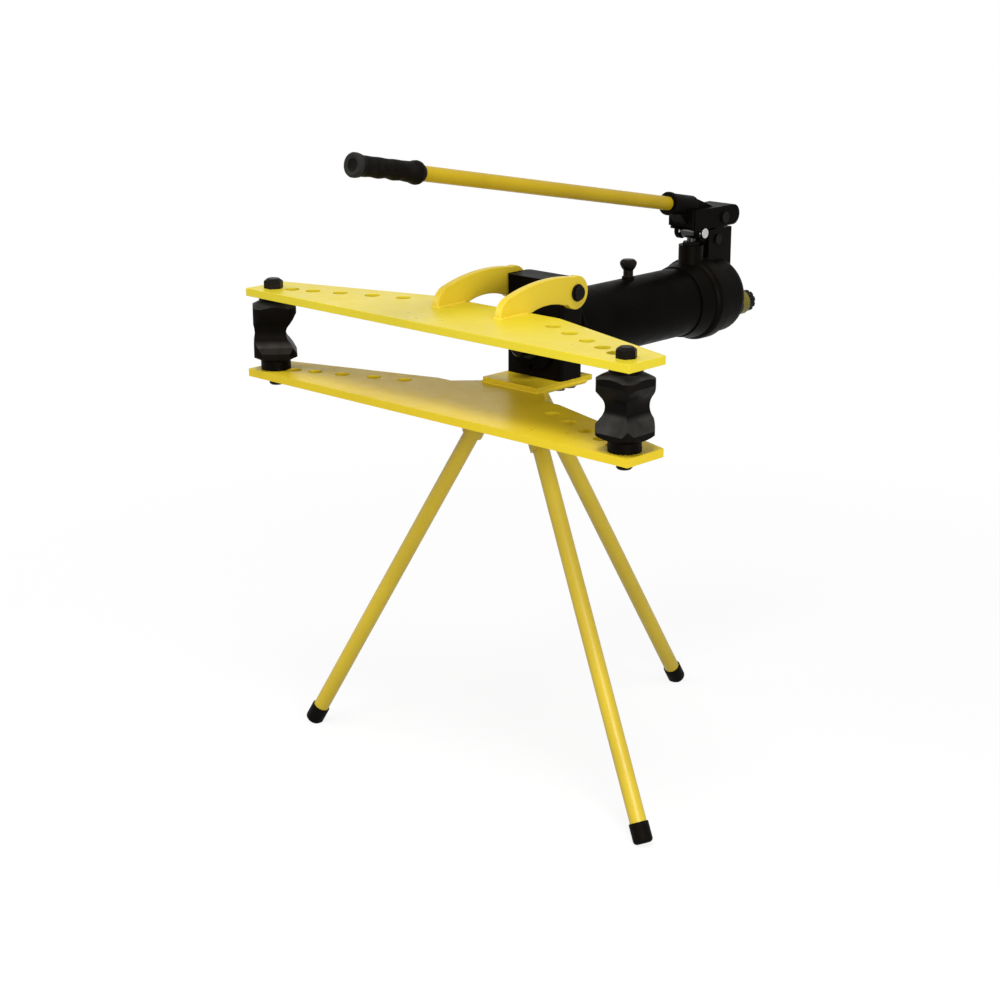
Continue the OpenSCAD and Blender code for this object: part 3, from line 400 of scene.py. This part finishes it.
low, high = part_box("filler_cap")
rim_low, rim_tall = 0.0088, 0.0056
rim_sunk, ridges, ridge_proud = 0.0001, 32, 0.0008
rim_middle = Vector(((low.x + high.x) / 2, (low.y + high.y) / 2, high.z - rim_low))
rim_r = (high.x - low.x) / 2 - rim_sunk
knurl = knurled_band("filler_cap_knurl", rim_middle, rim_r, rim_tall, ridges, ridge_proud, "filler_cap")
coat(knurl, pin_black)


# Each roller is an iron casting, bored for its pin, with a pipe groove of another size in each of its four
# sides. It is sprayed with the same black as the block, and its upward-facing slopes are painted paler in
# patches: a painted highlight.
roller_black = black_enamel("roller_black", 0.04, 0.035, 0.46, (0.036, 0.034, 0.031))
for node in ("roller_left", "roller_right"):
    coat(eased(node, 0.0018), roller_black)


# The ram, the pump plunger, its cross pin and the pieces inside the cylinder are ground steel with fine
# turning marks. The ram's nose, which carries the bending shoe, is blackened, and the plunger's steel is
# coloured dark. The wiper and the piston's seal are rubber rings.
def ground_steel(name, way, dark, bright, black_nose=None):
    """Ground steel with marks across the way it was turned, black in front of a nose's rear end."""
    r = Recipe(name)
    lines = r.blotches(60.0, 4.0, 0.6, way)
    r.relief((lines, 0.0001, 0.3))
    colour = r.ramp(lines, (0.3, dark), (0.7, bright))
    if black_nose is not None:
        fade = 0.0003
        far_back = r.node("ShaderNodeSeparateXYZ", Vector=r.place).outputs["Y"]
        behind = r.node("ShaderNodeMapRange", Value=far_back, From_Min=black_nose - fade,
                        From_Max=black_nose + fade).outputs["Result"]
        colour = r.mix(behind, (0.01, 0.009, 0.008), colour)
    return r.set(Base_Color=colour, Metallic=1.0,
                 Roughness=r.ramp(r.blotches(35.0, 5.0), (0.3, 0.16), (0.75, 0.34)))


nose_gap = 0.0005
nose_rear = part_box("gland_nut")[0].y - nose_gap
ram_steel = ground_steel("ram_steel", (2.0, 40.0, 2.0), 0.48, 0.66, nose_rear)
plunger_steel = ground_steel("plunger_steel", (2.0, 2.0, 40.0), 0.03, 0.06)
cross_steel = ground_steel("cross_steel", (40.0, 2.0, 2.0), 0.42, 0.55)
inner_steel = ground_steel("inner_steel", (2.0, 40.0, 2.0), 0.48, 0.66)
for node, finish in (("ram", ram_steel), ("pump_plunger", plunger_steel), ("plunger_pin", cross_steel)):
    coat(eased(node, 0.0005), finish)
for node in ("piston", "pressure_cylinder", "return_spring", "spring_anchor", "valve_ball"):
    coat(frame["nodes"][node], inner_steel)
for node in ("rod_wiper", "piston_seal"):
    coat(frame["nodes"][node], foot_rubber)


# The handle is a yellow tube in the lever's socket. A black rubber grip is pulled over its end: closed by a
# dished flange, coloured a paler grey, at its far end, waved under the fingers, and flared where the tube
# runs into it.
# The handle's copy of the yellow is much deeper than the wings': painted shade.
handle_yellow = yellow_enamel("handle_yellow", (0.46, 0.315, 0.009), (0.4, 0.27, 0.007), 0.12)
coat(eased("handle_tube", 0.0006), handle_yellow)


def end_middle(points, y):
    """The middle of a tube's end, from its points about there."""
    about = 0.005
    end = [point for point in points if abs(point.y - y) < about]
    return sum(end, Vector()) / len(end)


tube = [v.co for v in frame["nodes"]["handle_tube"].data.vertices]
tube_fore = end_middle(tube, min(point.y for point in tube))
tube_rear = end_middle(tube, max(point.y for point in tube))
away = (tube_fore - tube_rear).normalized()
reach = [(v.co - tube_fore).dot(away) for v in frame["nodes"]["handle_grip"].data.vertices]
grip_end, grip_len = tube_fore + away * max(reach), max(reach) - min(reach)
flange_r = (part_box("handle_grip")[1].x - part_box("handle_grip")[0].x) / 2
tube_r = (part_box("handle_tube")[1].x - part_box("handle_tube")[0].x) / 2
narrowing = 0.0025
waist_r = flange_r - narrowing
sideways = Vector((1.0, 0.0, 0.0))
below = away.cross(sideways)
if below.z > 0:
    below = -below


def grip_radius(share, under):
    """Radius of the grip at a share of its length, with under from 0 on top to 1 below, at the fingers."""
    flange_end, fingers_from, fingers_long, fingers = 0.98, 0.17, 0.69, 3
    rings = ((0.0, tube_r + 0.0012), (0.012, tube_r + 0.0022), (0.06, flange_r - 0.0006), (0.085, flange_r),
             (0.11, flange_r - 0.0005), (0.18, waist_r), (0.87, waist_r), (0.92, flange_r - 0.0006),
             (0.94, flange_r), (flange_end, flange_r), (0.994, flange_r - 0.001), (1.0, flange_r - 0.0025))
    for (start, r0), (end, r1) in zip(rings, rings[1:]):
        if share <= end:
            soft = (share - start) / (end - start)
            if share < flange_end:
                soft = soft * soft * (3 - 2 * soft)
            r = r0 + (r1 - r0) * soft
            break
    along = (share - fingers_from) / fingers_long
    held = math.sin(math.pi * min(1.0, max(0.0, along)))
    wave = math.cos(fingers * math.tau * along)
    return r - held * (0.0003 + 0.0006 * under) * (1 - wave)


work = bmesh.new()
mark = work.loops.layers.float.new("edge")
rows, around = 150, 40
# Beyond this share of its length the grip is coloured a paler grey.
paler_from = 0.93
dish = 0.002
dished = 1 - dish / grip_len
lip_r, dish_r, middle_r = 0.7 * flange_r, 0.55 * flange_r, 0.002
stations = [(i / rows, None) for i in range(rows + 1)]
stations += [(1.0, lip_r), (dished, dish_r), (dished, middle_r)]
rings = []
for share, fixed in stations:
    middle = grip_end - away * grip_len * (1 - share)
    ring = []
    for k in range(around):
        angle = math.tau * k / around
        direction = math.cos(angle) * below + math.sin(angle) * sideways
        under = max(0.0, math.cos(angle)) ** 1.5
        ring.append(work.verts.new(middle + direction * (fixed or grip_radius(share, under))))
    rings.append(ring)
for (share, fixed), ring, next_ring in zip(stations, rings, rings[1:]):
    for k in range(around):
        side = work.faces.new((ring[k - 1], ring[k], next_ring[k], next_ring[k - 1]))
        for loop in side.loops:
            loop[mark] = 1.0 if share > paler_from and fixed in (None, lip_r) else 0.0
work.faces.new(rings[0])
work.faces.new(rings[-1][::-1])
bmesh.ops.recalc_face_normals(work, faces=work.faces)
coat(placed(work, "handle_grip_skin", body_of("handle_grip"), ["handle_grip"]),
     black_rubber("grip_rubber", 700.0, (0.019, 0.018, 0.017)))


# The release valve's collar is a turned steel ring on the back of the pump casting, round the knob's spindle.
# It is enamelled yellow too, in a much darker copy of the yellow: painted shade.
collar_yellow = yellow_enamel("collar_yellow", (0.2, 0.17, 0.02), (0.13, 0.11, 0.014), 0.12)
coat(eased("release_collar", 0.001), collar_yellow)


# A white floor runs out past the horizon under a white sky. Large soft lamps hang above, to the left and to
# the right, and the floor keeps a faint shadow round the feet.
def seen_white(tree):
    """1 for rays from the camera, and those mirrored or passed on to it."""
    path = tree.nodes.new("ShaderNodeLightPath")
    most = path.outputs["Is Camera Ray"]
    for name in ("Is Glossy Ray", "Is Transmission Ray"):
        larger = tree.nodes.new("ShaderNodeMath")
        larger.operation = "MAXIMUM"
        tree.links.new(most, larger.inputs[0])
        tree.links.new(path.outputs[name], larger.inputs[1])
        most = larger.outputs[0]
    return most


floor_mesh = bmesh.new()
bmesh.ops.create_circle(floor_mesh, cap_ends=True, segments=96, radius=40.0)
sheet = bpy.data.meshes.new("floor")
floor_mesh.to_mesh(sheet)
floor_mesh.free()
floor = bpy.data.objects.new("floor", sheet)
floor_gap = 0.0005
floor.location.z = -floor_gap
bpy.context.scene.collection.objects.link(floor)
floor_white = Recipe("floor_white")
tree = floor_white.tree
looked_at = seen_white(tree)
floor_white.set(Base_Color=floor_white.mix(looked_at, (0.25, 0.25, 0.25), (0.9, 0.9, 0.9)), Roughness=0.9)
pool_reach = 2.0
spread = floor_white.node("ShaderNodeMapping", Vector=floor_white.place, Scale=[1 / pool_reach] * 3)
pool = floor_white.node("ShaderNodeTexGradient", Vector=spread.outputs["Vector"])
pool.gradient_type = "SPHERICAL"
share = floor_white.times(looked_at, floor_white.ramp(pool.outputs["Fac"], (0.1, 1.0), (0.7, 0.86)))
glow = tree.nodes.new("ShaderNodeEmission")
both = tree.nodes.new("ShaderNodeMixShader")
tree.links.new(share, both.inputs[0])
tree.links.new(floor_white.surface.outputs[0], both.inputs[1])
tree.links.new(glow.outputs[0], both.inputs[2])
tree.links.new(both.outputs[0], tree.nodes["Material Output"].inputs["Surface"])
floor.data.materials.append(floor_white.material)

world = bpy.data.worlds.new("white_sky")
bpy.context.scene.world = world
world.use_nodes = True
sky = world.node_tree
light = sky.nodes["Background"]
light.inputs["Color"].default_value = (1.0, 1.0, 1.0, 1.0)
light.inputs["Strength"].default_value = 0.38
seen = sky.nodes.new("ShaderNodeBackground")
seen.inputs["Color"].default_value = (1.0, 1.0, 1.0, 1.0)
seen.inputs["Strength"].default_value = 1.0
pick = sky.nodes.new("ShaderNodeMixShader")
sky.links.new(seen_white(sky), pick.inputs[0])
sky.links.new(light.outputs[0], pick.inputs[1])
sky.links.new(seen.outputs[0], pick.inputs[2])
sky.links.new(pick.outputs[0], sky.nodes["World Output"].inputs["Surface"])

for name, place, aim, size, power in (("lamp_above", (0.7, -1.2, 3.2), (0.0, 0.0, 0.6), 1.2, 60.0),
                                      ("lamp_left", (-2.4, -2.2, 2.0), (0.0, -0.1, 0.6), 1.8, 40.0),
                                      ("lamp_right", (1.9, -1.3, 0.95), (0.0, 0.0, 0.5), 0.7, 34.0)):
    lamp = bpy.data.objects.new(name, bpy.data.lights.new(name, "AREA"))
    lamp.data.size = size
    lamp.data.energy = power
    lamp.location = place
    lamp.rotation_mode = "QUATERNION"
    lamp.rotation_quaternion = (Vector(place) - Vector(aim)).to_track_quat("Z", "Y")
    bpy.context.scene.collection.objects.link(lamp)

bpy.context.scene.view_settings.view_transform = "Standard"
